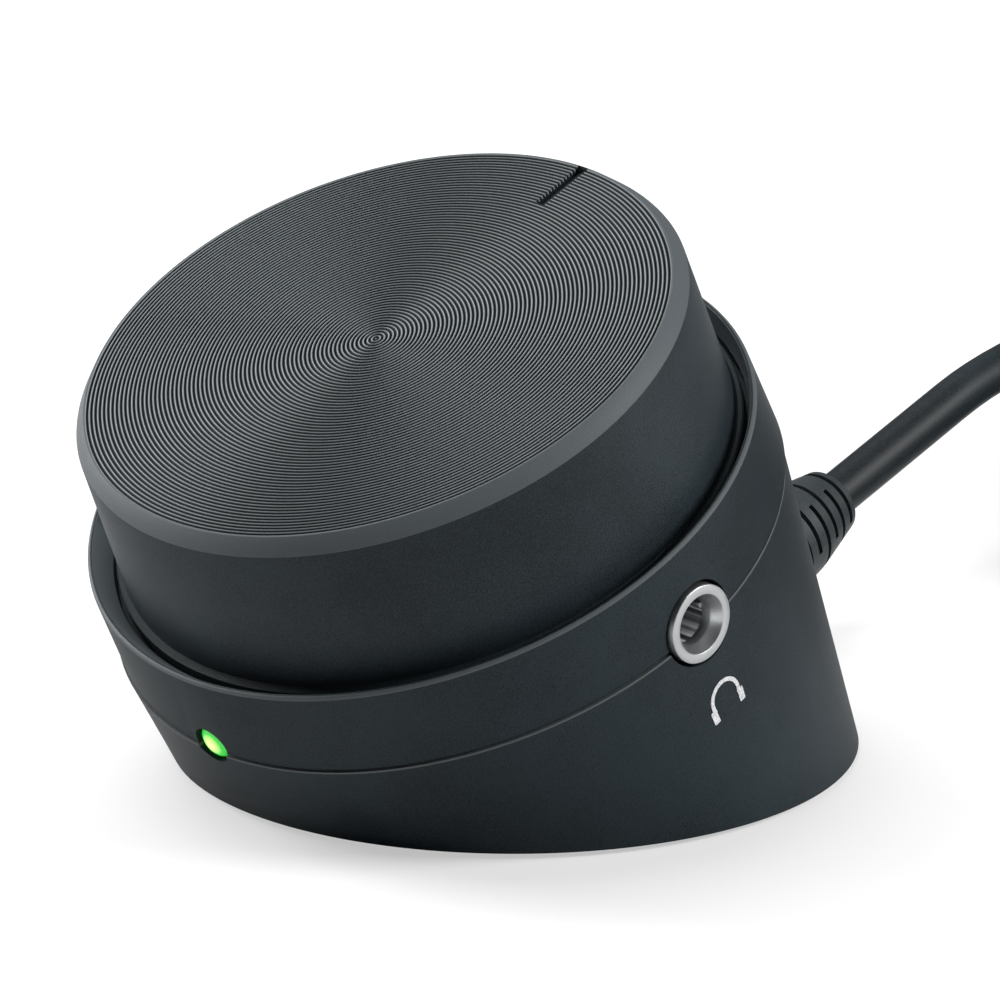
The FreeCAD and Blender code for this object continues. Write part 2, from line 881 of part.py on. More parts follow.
def make_plug_core():
    core = rod(plug_shell_radius - plug_shell_wall, grip_length, grip_length + plug_core_length)
    key = block(-key_width / 2, key_width / 2, -key_height / 2, key_height / 2,
                grip_length, grip_length + plug_core_length + pin_length)
    return at_plug(core.fuse(key).removeSplitter())


def make_plug_pins():
    base = grip_length + plug_core_length
    pins = []
    for index in range(pin_count):
        turn = 2 * math.pi * (index + 0.5) / pin_count
        pins.append(at_plug(rod(pin_radius, base, base + pin_length,
                                pin_circle * math.cos(turn), pin_circle * math.sin(turn))))
    return pins


# ---- wires between the cable and the board ----

def make_inner_wires():
    wires = []
    sheath_end = relief_inner_end() - sheath_inner_end
    plug_foot = board_under - socket_height - wire_plug_height
    for index in range(wire_count):
        place = index - (wire_count - 1) / 2
        start = cable_place.multVec(Vec(place * wire_sheath_pitch, 0, sheath_end - wire_seat))
        bend = start + Vec(place * (wire_pitch - wire_sheath_pitch) / 4, -wire_lead, 0.3)
        end = deck_place.multVec(Vec(socket_x + place * wire_pitch, socket_back, plug_foot))
        below = deck_place.multVec(Vec(socket_x + place * wire_pitch, socket_back,
                                       plug_foot - wire_rise))
        wires.append(cord_solid("inner wire", [start, bend, below, end], wire_radius))
    return wires


pieces = {
    "upper_shell": [make_upper_shell()],
    "lower_shell": [make_lower_shell()],
    "rubber_ring": [make_rubber_ring()],
    "ballast_plate": [make_ballast()],
    "case_screws": make_case_screws(),
    "knob_cap": [make_knob_cap()],
    "knob_hub": [make_knob_hub()],
    "pot_shaft": [make_pot_shaft()],
    "pot_rotor": [make_pot_rotor()],
    "pot_housing": [make_pot_housing()],
    "pot_track": [make_pot_track()],
    "pot_bushing": [make_pot_bushing()],
    "pot_washer": [make_pot_washer()],
    "pot_nut": [make_pot_nut()],
    "main_board": [make_main_board()],
    "board_screws": make_board_screws(),
    "board_chips": make_board_chips(),
    "board_resistors": make_board_resistors(),
    "board_capacitors": make_capacitors(),
    "wire_socket": [make_wire_socket()],
    "wire_plug": [make_wire_plug()],
    "inner_wires": make_inner_wires(),
    "jack_ring": [make_jack_ring()],
    "jack_body": [make_jack_body()],
    "jack_contacts": make_jack_contacts(),
    "light_pipe": [make_light_pipe()],
    "light_emitter": [make_light_emitter()],
    "light_holder": [make_light_holder()],
    "strain_relief": [make_strain_relief()],
    "cable_sheath": [make_cable_sheath()],
    "cable_crimp": [make_cable_crimp()],
    "cable_run": [cord_solid("cable_run", run_route(), cable_radius)],
    "cable_coil": [make_coil()],
    "cable_tail": [cord_solid("cable_tail", tail_route(), cable_radius)],
    "coil_tie": [make_coil_tie()],
    "plug_grip": [make_plug_grip()],
    "plug_shell": [make_plug_shell()],
    "plug_core": [make_plug_core()],
    "plug_pins": make_plug_pins(),
}

for name, shapes in pieces.items():
    save(name, shapes)
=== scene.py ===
from math import cos, hypot, pi, radians, sin

import bpy
from mathutils import Matrix, Vector


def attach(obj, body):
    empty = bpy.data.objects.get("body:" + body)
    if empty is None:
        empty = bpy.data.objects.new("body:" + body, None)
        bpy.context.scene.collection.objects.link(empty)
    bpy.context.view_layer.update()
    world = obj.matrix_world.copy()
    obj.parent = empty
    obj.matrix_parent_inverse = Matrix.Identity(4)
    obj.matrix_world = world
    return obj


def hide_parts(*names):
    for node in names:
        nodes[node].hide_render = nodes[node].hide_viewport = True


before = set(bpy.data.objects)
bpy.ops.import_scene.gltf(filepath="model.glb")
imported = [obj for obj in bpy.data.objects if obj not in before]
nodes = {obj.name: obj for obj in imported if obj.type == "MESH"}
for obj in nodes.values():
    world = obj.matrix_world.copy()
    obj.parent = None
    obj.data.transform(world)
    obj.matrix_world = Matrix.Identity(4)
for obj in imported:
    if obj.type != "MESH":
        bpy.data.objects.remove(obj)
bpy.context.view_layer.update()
mm = 0.001
print("frame loaded:", len(nodes), "parts")

# the deck's axes: Z is the knob's axis, which leans forward, and heights start at the bevel's lower edge
deck = {"y": -16.1, "z": 35.05, "tilt": 25.75}  # mm and degrees
deckRoot = Matrix.Translation((0, deck["y"] * mm, deck["z"] * mm))
deckMatrix = deckRoot @ Matrix.Rotation(radians(deck["tilt"]), 4, "X")

view = {
    "azimuth": 39.5, "elevation": 16.6,  # degrees
    "distance": 0.4428, "aim": (0.00287, -0.00549, 0.02147), "clip": (0.01, 20),  # metres
    "lens": 207.9, "film": 36,
}


def addCamera():
    turn, lift = radians(view["azimuth"]), radians(view["elevation"])
    back = Vector((sin(turn) * cos(lift), -cos(turn) * cos(lift), sin(lift)))
    data = bpy.data.cameras.new("camera")
    data.lens = view["lens"]
    data.sensor_width = view["film"]
    data.clip_start, data.clip_end = view["clip"]
    camera = bpy.data.objects.new("camera", data)
    bpy.context.scene.collection.objects.link(camera)
    camera.location = Vector(view["aim"]) + back * view["distance"]
    camera.rotation_euler = (-back).to_track_quat("-Z", "Y").to_euler()
    bpy.context.scene.camera = camera


studio = {
    "lamps": {
        "left": {"at": (-0.95, -0.20, 0.42), "size": 0.5, "power": 16.5},
        "right": {"at": (0.78, 0.40, 0.55), "size": 0.5, "power": 15.0},
        "top": {"at": (-0.35, -0.10, 1.05), "size": 0.8, "power": 15.0},
    },
    "aim": (0, 0, 0.02),
    "world": 0.09,  # light from all round, where the camera sees plain white
}


def addLamp(name, at, size, power):
    data = bpy.data.lights.new(name, "AREA")
    data.shape = "DISK"
    data.size = size
    data.energy = power
    lamp = bpy.data.objects.new(name, data)
    bpy.context.scene.collection.objects.link(lamp)
    lamp.location = at
    lamp.rotation_euler = (Vector(studio["aim"]) - Vector(at)).to_track_quat("-Z", "Y").to_euler()


def addStudio():
    for name, lamp in studio["lamps"].items():
        addLamp(name, **lamp)
    world = bpy.data.worlds.new("studio")
    bpy.context.scene.world = world
    world.use_nodes = True
    tree = world.node_tree
    tree.nodes.clear()
    out = tree.nodes.new("ShaderNodeOutputWorld")
    mix = tree.nodes.new("ShaderNodeMixShader")
    path = tree.nodes.new("ShaderNodeLightPath")
    for socket, strength in ((1, studio["world"]), (2, 1.0)):
        sky = tree.nodes.new("ShaderNodeBackground")
        sky.inputs["Color"].default_value = (1, 1, 1, 1)
        sky.inputs["Strength"].default_value = strength
        tree.links.new(sky.outputs[0], mix.inputs[socket])
    tree.links.new(path.outputs["Is Camera Ray"], mix.inputs["Fac"])
    tree.links.new(mix.outputs[0], out.inputs["Surface"])
    bpy.context.scene.view_settings.view_transform = "Standard"


addCamera()
addStudio()
print("camera and lamps set")


def release():  # object mode with nothing selected
    if bpy.context.mode != "OBJECT":
        bpy.ops.object.mode_set(mode="OBJECT")
    bpy.ops.object.select_all(action="DESELECT")


def take(obj):
    release()
    obj.select_set(True)
    bpy.context.view_layer.objects.active = obj
    return obj


def openAll():  # edit mode with everything selected
    bpy.ops.object.mode_set(mode="EDIT")
    bpy.ops.mesh.select_all(action="SELECT")


def openPoint(name):  # a new mesh of one point at the origin, left in edit mode
    release()
    bpy.ops.mesh.primitive_plane_add(size=mm)
    obj = bpy.context.object
    obj.name = name
    openAll()
    bpy.ops.mesh.merge(type="CENTER")
    return obj


def settle(obj, place=None):  # puts a piece in its place and leaves its object at the origin
    take(obj)
    if place is not None:
        obj.matrix_world = place @ obj.matrix_world
    bpy.ops.object.transform_apply(location=True, rotation=True, scale=True)
    return obj


weld = {"outline": 0.00001, "turned": 0.001}  # mm, points nearer than this are merged


def lathe(name, profile, steps, closed=False):  # spins (radius, height) points in mm about the upright axis
    obj = openPoint(name)
    x, z = profile[0]
    bpy.ops.transform.translate(value=(x * mm, 0, z * mm))
    around = profile[1:] + profile[:1] if closed else profile[1:]
    for nextX, nextZ in around:
        bpy.ops.mesh.extrude_region_move(
            TRANSFORM_OT_translate={"value": ((nextX - x) * mm, 0, (nextZ - z) * mm)})
        x, z = nextX, nextZ
    bpy.ops.mesh.select_all(action="SELECT")
    bpy.ops.mesh.remove_doubles(threshold=weld["outline"] * mm)
    bpy.ops.mesh.select_all(action="SELECT")
    bpy.ops.mesh.spin(steps=steps, angle=2 * pi, center=(0, 0, 0), axis=(0, 0, 1))
    bpy.ops.mesh.select_all(action="SELECT")
    bpy.ops.mesh.remove_doubles(threshold=weld["turned"] * mm)
    bpy.ops.mesh.select_all(action="SELECT")
    bpy.ops.mesh.normals_make_consistent(inside=False)
    bpy.ops.object.mode_set(mode="OBJECT")
    return obj


def soften(obj, angle=30):
    take(obj)
    bpy.ops.object.shade_smooth_by_angle(angle=radians(angle))
    return obj


def apply(obj, kind, **values):
    take(obj)
    modifier = obj.modifiers.new("step", kind)
    for key, value in values.items():
        setattr(modifier, key, value)
    bpy.ops.object.modifier_apply(modifier=modifier.name)
    return obj


def carve(obj, cutter):
    apply(obj, "BOOLEAN", object=cutter, operation="DIFFERENCE", solver="EXACT")
    mesh = cutter.data
    bpy.data.objects.remove(cutter)
    bpy.data.meshes.remove(mesh)
    return obj


def wear(obj, material):
    obj.data.materials.clear()
    obj.data.materials.append(material)
    return obj


def outward(at):  # axes at a place on the wall, whose Z points away from the knob's axis
    turn = Matrix.Rotation(radians(at["angle"]), 4, "Z")
    down = Matrix.Translation((0, 0, -at["drop"] * mm))
    return deckMatrix @ turn @ down @ Matrix.Rotation(pi / 2, 4, "Y")


def newMaterial(name):
    material = bpy.data.materials.new(name)
    material.use_nodes = True
    tree = material.node_tree
    tree.nodes.clear()
    out = tree.nodes.new("ShaderNodeOutputMaterial")
    shader = tree.nodes.new("ShaderNodeBsdfPrincipled")
    tree.links.new(shader.outputs[0], out.inputs["Surface"])
    place = tree.nodes.new("ShaderNodeTexCoord")
    return material, tree, shader, place


def findNode(tree, kind):
    return next(node for node in tree.nodes if node.type == kind)


def addNoise(tree, place, scale, detail, roughness=0.55):
    noise = tree.nodes.new("ShaderNodeTexNoise")
    noise.inputs["Scale"].default_value = scale
    noise.inputs["Detail"].default_value = detail
    noise.inputs["Roughness"].default_value = roughness
    tree.links.new(place.outputs["Object"], noise.inputs["Vector"])
    return noise.outputs["Fac"]


def addRamp(tree, source, *stops):  # two colours, each at its stop
    ramp = tree.nodes.new("ShaderNodeValToRGB")
    for element, (where, colour) in zip(ramp.color_ramp.elements, stops):
        element.position = where
        element.color = (*colour, 1)
    tree.links.new(source, ramp.inputs["Fac"])
    return ramp.outputs[0]


def addBump(tree, source, distance, strength):
    bump = tree.nodes.new("ShaderNodeBump")
    bump.inputs["Distance"].default_value = distance
    bump.inputs["Strength"].default_value = strength
    tree.links.new(source, bump.inputs["Height"])
    return bump.outputs[0]


def addGloss(tree, source, rough):  # roughness between two values
    gloss = tree.nodes.new("ShaderNodeMapRange")
    gloss.inputs["To Min"].default_value, gloss.inputs["To Max"].default_value = rough
    tree.links.new(source, gloss.inputs["Value"])
    return gloss.outputs[0]


def work(tree, operation, *values):  # one sum on sockets and numbers
    node = tree.nodes.new("ShaderNodeMath")
    node.operation = operation
    for socket, value in zip(node.inputs, values):
        if isinstance(value, (int, float)):
            socket.default_value = value
        else:
            tree.links.new(value, socket)
    return node.outputs[0]


def radiusOf(tree, x, y):
    return work(tree, "SQRT", work(tree, "ADD", work(tree, "MULTIPLY", x, x), work(tree, "MULTIPLY", y, y)))


def intoAxes(tree, place, matrix):  # object coordinates turned into a piece's own axes, in mm
    back = matrix.inverted()
    mapping = tree.nodes.new("ShaderNodeMapping")
    mapping.inputs["Scale"].default_value = (1 / mm, 1 / mm, 1 / mm)
    mapping.inputs["Rotation"].default_value = back.to_euler("XYZ")
    mapping.inputs["Location"].default_value = back.translation / mm
    tree.links.new(place.outputs["Object"], mapping.inputs["Vector"])
    split = tree.nodes.new("ShaderNodeSeparateXYZ")
    tree.links.new(mapping.outputs[0], split.inputs[0])
    return split.outputs


def tint(material, mask, colour):  # lays another colour over the finish where the mask is 1
    tree = material.node_tree
    shader = findNode(tree, "BSDF_PRINCIPLED")
    under = shader.inputs["Base Color"].links[0].from_socket
    mix = tree.nodes.new("ShaderNodeMix")
    mix.data_type = "RGBA"
    tree.links.new(mask, mix.inputs[0])
    tree.links.new(under, mix.inputs[6])
    if isinstance(colour, tuple):
        mix.inputs[7].default_value = (*colour, 1)
    else:
        tree.links.new(colour, mix.inputs[7])
    tree.links.new(mix.outputs[2], shader.inputs["Base Color"])


mottle = {
    "broad": 60.0, "fineShare": 0.6,
    "stops": (0.42, 0.58), "darker": 0.7, "lighter": 1.35,
}


def plastic(name, dark, light, rough=(0.42, 0.56), grain=9000.0, bump=0.35, height=0.00002, specular=0.5):
    material, tree, shader, place = newMaterial(name)  # moulded plastic with a fine even grain
    fine = addNoise(tree, place, grain, 3.0)
    broad = addNoise(tree, place, mottle["broad"], 3.0)
    mixed = work(tree, "ADD", work(tree, "MULTIPLY", fine, mottle["fineShare"]),
                 work(tree, "MULTIPLY", broad, 1 - mottle["fineShare"]))
    low, high = mottle["stops"]
    colour = addRamp(tree, mixed, (low, [part * mottle["darker"] for part in dark]),
                     (high, [part * mottle["lighter"] for part in light]))
    tree.links.new(colour, shader.inputs["Base Color"])
    tree.links.new(addGloss(tree, fine, rough), shader.inputs["Roughness"])
    tree.links.new(addBump(tree, fine, height, bump), shader.inputs["Normal"])
    shader.inputs["Specular IOR Level"].default_value = specular
    return material


polish = {"broad": 220.0, "stops": (0.3, 0.7), "shade": 0.92, "height": 0.00001}


def metal(name, pale, rough=(0.16, 0.3), scale=2500.0, bump=0.15):
    material, tree, shader, place = newMaterial(name)  # plated metal with faint polishing marks
    marks = addNoise(tree, place, scale, 3.0, 0.6)
    broad = addNoise(tree, place, polish["broad"], 2.0)
    low, high = polish["stops"]
    colour = addRamp(tree, broad, (low, [part * polish["shade"] for part in pale]), (high, pale))
    tree.links.new(colour, shader.inputs["Base Color"])
    tree.links.new(addGloss(tree, marks, rough), shader.inputs["Roughness"])
    tree.links.new(addBump(tree, marks, polish["height"], bump), shader.inputs["Normal"])
    shader.inputs["Metallic"].default_value = 1.0
    return material


def casePlastic(name, dark, light, specular):  # the satin plastic of the case and the knob
    return plastic(name, dark, light, rough=(0.46, 0.6), bump=0.6, height=0.00004, specular=specular)


finishes = {
    "print": plastic("signInk", (0.36, 0.36, 0.37), (0.42, 0.42, 0.43), rough=(0.5, 0.6)),
    "inside": plastic("insidePlastic", (0.02, 0.022, 0.024), (0.03, 0.032, 0.034), rough=(0.5, 0.65)),
    "jacket": plastic("cableJacket", (0.0045, 0.0070, 0.0086), (0.0070, 0.0105, 0.0125), rough=(0.44, 0.56),
                      grain=5000.0, specular=0.2),
    "relief": plastic("reliefRubber", (0.015, 0.0195, 0.022), (0.021, 0.026, 0.029), rough=(0.5, 0.62),
                      specular=0.25),
    "rubber": plastic("softRubber", (0.016, 0.016, 0.017), (0.026, 0.026, 0.028), rough=(0.7, 0.85),
                      grain=3000.0),
    "steel": metal("platedSteel", (0.55, 0.56, 0.57)),
    "ring": metal("satinRing", (0.42, 0.43, 0.435), rough=(0.3, 0.44), scale=5000.0, bump=0.5),
    "brass": metal("brass", (0.72, 0.54, 0.27)),
    "gold": metal("goldContact", (0.86, 0.64, 0.30), rough=(0.12, 0.22)),
    "potMetal": metal("potMetal", (0.50, 0.51, 0.52), rough=(0.3, 0.42)),
    "carbon": plastic("carbonTrack", (0.015, 0.015, 0.015), (0.04, 0.04, 0.04), rough=(0.6, 0.8)),
    "board": plastic("boardGreen", (0.012, 0.09, 0.035), (0.02, 0.13, 0.05), rough=(0.25, 0.4), grain=1500.0),
    "chip": plastic("chipBlack", (0.012, 0.012, 0.013), (0.02, 0.02, 0.022), rough=(0.45, 0.6)),
    "sleeve": plastic("capacitorSleeve", (0.02, 0.025, 0.06), (0.03, 0.035, 0.08), rough=(0.2, 0.35)),
    "white": plastic("whitePlastic", (0.62, 0.61, 0.57), (0.70, 0.69, 0.65), rough=(0.35, 0.5)),
    "wire": plastic("wireInsulation", (0.35, 0.03, 0.03), (0.45, 0.05, 0.05), rough=(0.3, 0.45)),
}
print("plain finishes made:", len(finishes))


# the free cable is one smooth line from the relief to the plug, in mm
route = {
    "start": [(0, 41.283, 10.150), (0, 52.835, 13.397), (0, 64.387, 16.645), (0, 80.0, 17.2)],
    "coilCentre": (25.8, 94.0),
    "rows": (13.9, 10.1, 6.3, 2.5),
    "turns": (25.8, 22.0, 18.2),
    "stepsPerTurn": 12,
    "swell": 1.0353,  # the line cuts inside its points by this much
    "firstShift": 11,
    "steps": 138,
    "end": [(52.6, 79.0, 2.9), (52.2, 67.0, 5.6), (52.2, 59.0, 5.6)],
    "radius": 1.9,
    "smooth": 6,
    "length": 1.69,  # metres
}


def coilPoints():
    turns, rows, perTurn = route["turns"], route["rows"], route["stepsPerTurn"]
    lanes = []
    for row, height in enumerate(rows):  # each layer is wound across the other way from the one above
        across = turns if row % 2 == 0 else turns[::-1]
        lanes += [(radius, height) for radius in across]
    wide = len(turns)
    shifts, at = [], route["firstShift"]
    for lane in range(1, len(lanes)):  # beside a step down between layers, a lane is one point shorter
        shifts.append(at)
        nearDrop = lane % wide in (0, wide - 1) and lane < wide * (len(rows) - 1)
        at += perTurn - 1 if nearDrop else perTurn
    points, lane = [], 0
    x, y = route["coilCentre"]
    for step in range(route["steps"] + 1):
        while lane < len(shifts) and step > shifts[lane]:
            lane += 1
        radius, height = lanes[lane]
        turn = pi - 2 * pi * step / perTurn
        reach = radius * route["swell"]
        points.append((x + reach * cos(turn), y + reach * sin(turn), height))
    return points


def addCable():
    points = route["start"] + coilPoints() + route["end"]
    data = bpy.data.curves.new("freeCable", "CURVE")
    data.dimensions = "3D"
    spline = data.splines.new("NURBS")
    spline.points.add(len(points) - 1)
    for point, (x, y, z) in zip(spline.points, points):
        point.co = (x * mm, y * mm, z * mm, 1)
    spline.order_u = 3
    spline.use_endpoint_u = True
    spline.resolution_u = route["smooth"]
    data.bevel_depth = route["radius"] * mm
    data.bevel_resolution = route["smooth"]
    data.use_fill_caps = True
    obj = bpy.data.objects.new("freeCable", data)
    bpy.context.scene.collection.objects.link(obj)
    return wear(obj, finishes["jacket"])


freeCable = addCable()
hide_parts("cable_run", "cable_coil", "cable_tail")
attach(freeCable, "base")
print("cable laid")


# the knob's sizes are in mm in the deck's axes, its colours linear
knob = {
    "faceRadius": 23.05, "faceHeight": 1.2, "faceEase": (0.06, 0.04),
    "edgeRadius": 24.0, "edgeEase": (0.06, 0.08, 0.06),
    "sideRadius": 24.4, "sideHeight": 12.2, "flare": (0.02, 0.15, 0.1),
    "footRadius": 24.9, "footBottom": -13.3, "footEase": 0.12,
    "wall": 1.7, "roof": -1.0, "collar": (8.6, 7.2, -8.0),
    "grooves": 68, "grooveDepth": 0.16, "margin": 0.15,
    "steps": 256, "smooth": 24,
    "slot": {"angle": 81.5, "start": 18.1, "width": 1.05, "depth": 0.55},
    "dark": (0.0085, 0.0133, 0.0162), "light": (0.0118, 0.0173, 0.0205), "specular": 0.14,
    # the ridge and valley colours paint a highlight on the groove ridges and shade in the valleys, and the
    # bevel colour is a painted highlight
    "ridge": (0.20, 0.222, 0.234), "valleyShade": (0.003, 0.004, 0.005), "stops": (0.04, 0.24), "above": 0.9,
    "bevel": (0.054, 0.062, 0.067),
    "matt": 0.26, "mattest": 0.85,  # the grooves are this much rougher, and never rougher than this
}
groovedRadius = knob["faceRadius"] - knob["margin"]
groovePitch = groovedRadius / knob["grooves"]


def paintGrooveLightAndShade(material):  # painted highlights on the ridges and painted shade in the valleys of the turned face, and a painted highlight on the bevel
    tree = material.node_tree
    x, y, height = intoAxes(tree, findNode(tree, "TEX_COORD"), deckMatrix)
    radius = radiusOf(tree, x, y)
    wave = work(tree, "PINGPONG", work(tree, "DIVIDE", radius, groovePitch), 0.5)
    ridge, valleyShade = knob["stops"]
    ridgeLightValleyShade = addRamp(tree, wave, (ridge, knob["ridge"]), (valleyShade, knob["valleyShade"]))
    onFace = work(tree, "MULTIPLY", work(tree, "GREATER_THAN", height, knob["above"]),
                  work(tree, "LESS_THAN", radius, groovedRadius))
    bevelHighlightMask = work(tree, "MULTIPLY", work(tree, "GREATER_THAN", height, 0.0),
                   work(tree, "GREATER_THAN", radius, groovedRadius))
    # paints a highlight over the bevel, then light on the ridges and shade in the valleys of the face
    tint(material, bevelHighlightMask, knob["bevel"])
    tint(material, onFace, ridgeLightValleyShade)
    shader = findNode(tree, "BSDF_PRINCIPLED")
    gloss = shader.inputs["Roughness"].links[0].from_socket
    rougher = work(tree, "ADD", gloss, work(tree, "MULTIPLY", onFace, knob["matt"]))
    tree.links.new(work(tree, "MINIMUM", rougher, knob["mattest"]), shader.inputs["Roughness"])
    return material


def knobProfile():
    face, top = knob["faceRadius"], knob["faceHeight"]
    edge, side, foot = knob["edgeRadius"], knob["sideRadius"], knob["footRadius"]
    ledge, bottom, roof = -knob["sideHeight"], knob["footBottom"], knob["roof"]
    points = [(0.0, top)]
    for groove in range(knob["grooves"]):
        points.append(((groove + 0.5) * groovePitch, top - knob["grooveDepth"]))
        points.append(((groove + 1) * groovePitch, top))
    out, down = knob["faceEase"]
    points += [(face, top), (face + out, top - down)]
    back, above, below = knob["edgeEase"]
    points += [(edge - back, above), (edge, -below)]
    back, above, out = knob["flare"]
    points += [(side - back, ledge + above), (side + out, ledge)]
    points += [(foot - knob["footEase"], ledge), (foot, ledge - knob["footEase"])]
    points += [(foot, bottom), (side - knob["wall"], bottom), (edge - knob["wall"], roof)]
    outer, inner, low = knob["collar"]
    points += [(outer, roof), (outer, low), (inner, low), (inner, roof), (0.0, roof)]
    return points


def addKnob():
    obj = lathe("knobCap", knobProfile(), knob["steps"])
    slot = knob["slot"]
    turn = radians(slot["angle"])
    length = knob["faceRadius"] - slot["start"]
    middle = (slot["start"] + length / 2) * mm
    release()
    bpy.ops.mesh.primitive_cube_add(
        size=1, location=(middle * cos(turn), middle * sin(turn), knob["faceHeight"] * mm),
        rotation=(0, 0, turn))
    cutter = bpy.context.object
    cutter.scale = (length * mm, slot["width"] * mm, 2 * slot["depth"] * mm)
    carve(obj, settle(cutter))
    settle(obj, deckMatrix)
    return wear(soften(obj, knob["smooth"]), finishes["knob"])


finishes["knob"] = paintGrooveLightAndShade(casePlastic("knobPlastic", knob["dark"], knob["light"], knob["specular"]))
knobCap = addKnob()
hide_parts("knob_cap")
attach(knobCap, "knob")
print("knob turned,", len(knobCap.data.polygons), "faces")


# the holes on the seam: degrees round the knob's axis, and mm below the deck's origin
holes = {
    "jack": {"angle": -6.45, "drop": 17.75, "radius": 3.35, "sides": 96},
    "light": {"angle": 263.7, "drop": 17.85, "radius": 1.6, "sides": 64},
    "reach": (20.7, 32.7),  # mm from the knob's axis
}

# upper shell with its rim, moat and deck, in mm in the deck's axes; rings are heights, then radii
upper = {
    "seamRadius": 26.7, "seamHeight": -18.12, "seamEase": 0.15,
    "rimRadius": 26.5, "rimHeight": -10.9, "round": 0.3, "roundSteps": 4,
    "landRadius": 26.08, "landEase": (0.08, 0.02, 0.06),
    "lipRadius": 25.25, "lipHeight": -12.7, "lipEase": (0.08, 0.12, 0.02),
    "deckTop": -13.9, "deckUnder": -15.1, "bore": 3.65,
    "tongue": {"root": 24.75, "outer": 24.2, "inner": 23.75, "bottom": -20.35, "rise": 0.02},
    "rimShift": -0.46, "rimRings": (-11.3, 0, 25.3, 27),
    "seamShift": -0.2, "seamRings": (-18.2, -18.0, 26, 27), "tongueRings": (-20, -18.0, 23, 25),
    "steps": 224, "smooth": 28,
    "dark": (0.0068, 0.0112, 0.0140), "light": (0.0098, 0.0150, 0.0180), "specular": 0.12,
    # crest and slope mark where the rim is painted: a highlight on the rounded crest, and light on the shaded
    # inner chamfer
    "crest": (26.26, -11.2), "paintedHighlight": (0.058, 0.066, 0.070),
    "slope": (24.9, 26.12, -13.7), "chamferPaintedLight": (0.10, 0.115, 0.122),
}


def paintRimLight(material):  # a painted highlight along the rim's rounded crest, and painted light on its inner chamfer, which lies in shade
    tree = material.node_tree
    x, y, height = intoAxes(tree, findNode(tree, "TEX_COORD"), deckMatrix)
    radius = radiusOf(tree, x, work(tree, "SUBTRACT", y, upper["rimShift"]))
    inner, outer, low = upper["slope"]
    band = work(tree, "MULTIPLY", work(tree, "GREATER_THAN", radius, inner),
                work(tree, "LESS_THAN", radius, outer))
    tint(material, work(tree, "MULTIPLY", band, work(tree, "GREATER_THAN", height, low)), upper["chamferPaintedLight"])
    inner, low = upper["crest"]
    tint(material, work(tree, "MULTIPLY", work(tree, "GREATER_THAN", radius, inner),
                        work(tree, "GREATER_THAN", height, low)), upper["paintedHighlight"])
    return material


def wallHole(obj, hole):  # bores a round hole through the wall
    start, end = holes["reach"]
    release()
    bpy.ops.mesh.primitive_cylinder_add(
        vertices=hole["sides"], radius=hole["radius"] * mm, depth=(end - start) * mm)
    middle = Matrix.Translation((0, 0, (start + end) / 2 * mm))
    carve(obj, settle(bpy.context.object, outward(hole) @ middle))


def shiftRings(obj, rings, shift):  # slides the points between two heights and two radii along the deck
    low, high, inner, outer = rings
    take(obj)
    bpy.ops.object.mode_set(mode="EDIT")
    bpy.ops.mesh.select_all(action="DESELECT")
    bpy.ops.object.mode_set(mode="OBJECT")
    for vertex in obj.data.vertices:
        x, y, z = vertex.co / mm
        vertex.select = low <= z <= high and inner <= hypot(x, y) <= outer
    bpy.ops.object.mode_set(mode="EDIT")
    bpy.ops.transform.translate(value=(0, shift * mm, 0))
    bpy.ops.object.mode_set(mode="OBJECT")


def upperProfile():
    radius, height, ease = upper["seamRadius"], upper["seamHeight"], upper["seamEase"]
    profile = [(radius - ease, height), (radius, height + ease)]
    rim, top, bend = upper["rimRadius"], upper["rimHeight"], upper["round"]
    for step in range(upper["roundSteps"] + 1):
        turn = pi / 2 * step / upper["roundSteps"]
        profile.append((rim - bend + bend * cos(turn), top - bend + bend * sin(turn)))
    radius = upper["landRadius"]
    out, back, down = upper["landEase"]
    profile += [(radius + out, top), (radius - back, top - down)]
    radius, height = upper["lipRadius"], upper["lipHeight"]
    out, above, below = upper["lipEase"]
    profile += [(radius + out, height + above), (radius, height - below), (radius, upper["deckTop"])]
    profile += [(upper["bore"], upper["deckTop"]), (upper["bore"], upper["deckUnder"])]
    tongue = upper["tongue"]
    profile += [(tongue["inner"], upper["deckUnder"]), (tongue["inner"], tongue["bottom"])]
    profile += [(tongue["outer"], tongue["bottom"]), (tongue["root"], upper["seamHeight"] + tongue["rise"])]
    return profile


def addUpperShell():
    obj = lathe("upperShell", upperProfile(), upper["steps"], closed=True)
    shiftRings(obj, upper["rimRings"], upper["rimShift"])
    shiftRings(obj, upper["seamRings"], upper["seamShift"])
    shiftRings(obj, upper["tongueRings"], upper["seamShift"])
    settle(obj, deckMatrix)
    wallHole(obj, holes["jack"])
    wallHole(obj, holes["light"])
    return wear(soften(obj, upper["smooth"]), finishes["shell"])


finishes["shell"] = paintRimLight(casePlastic("shellPlastic", upper["dark"], upper["light"], upper["specular"]))
upperShell = addUpperShell()
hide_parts("upper_shell")
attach(upperShell, "base")
print("upper shell made")


# the jack's outlines are (radius, distance from the knob's axis), in mm
jack = {
    "ring": [(3.05, 23.06), (3.05, 26.84), (3.02, 26.91), (2.95, 26.95), (2.38, 26.95), (2.32, 26.92),
             (1.88, 26.07), (1.85, 25.98), (1.85, 25.2), (2.4, 25.2), (2.4, 23.06)],
    "liner": [(2.38, 23.06), (2.38, 25.19), (1.9, 25.19), (1.9, 23.06)],
    "ringSteps": 96, "linerSteps": 72, "smooth": 32,
    "springs": (84, 118, 150), "springSize": (0.22, 0.5, 2.0), "springAt": (1.78, 24.2), "springEase": 0.07,
    # the bore's dark and pale colours are painted reflection streaks
    "reflectionStreaks": 3.2, "dark": (0.05, 0.052, 0.055), "pale": (0.90, 0.91, 0.92), "stops": (0.42, 0.62),
    "metallic": 0.2, "rough": 0.4,
}


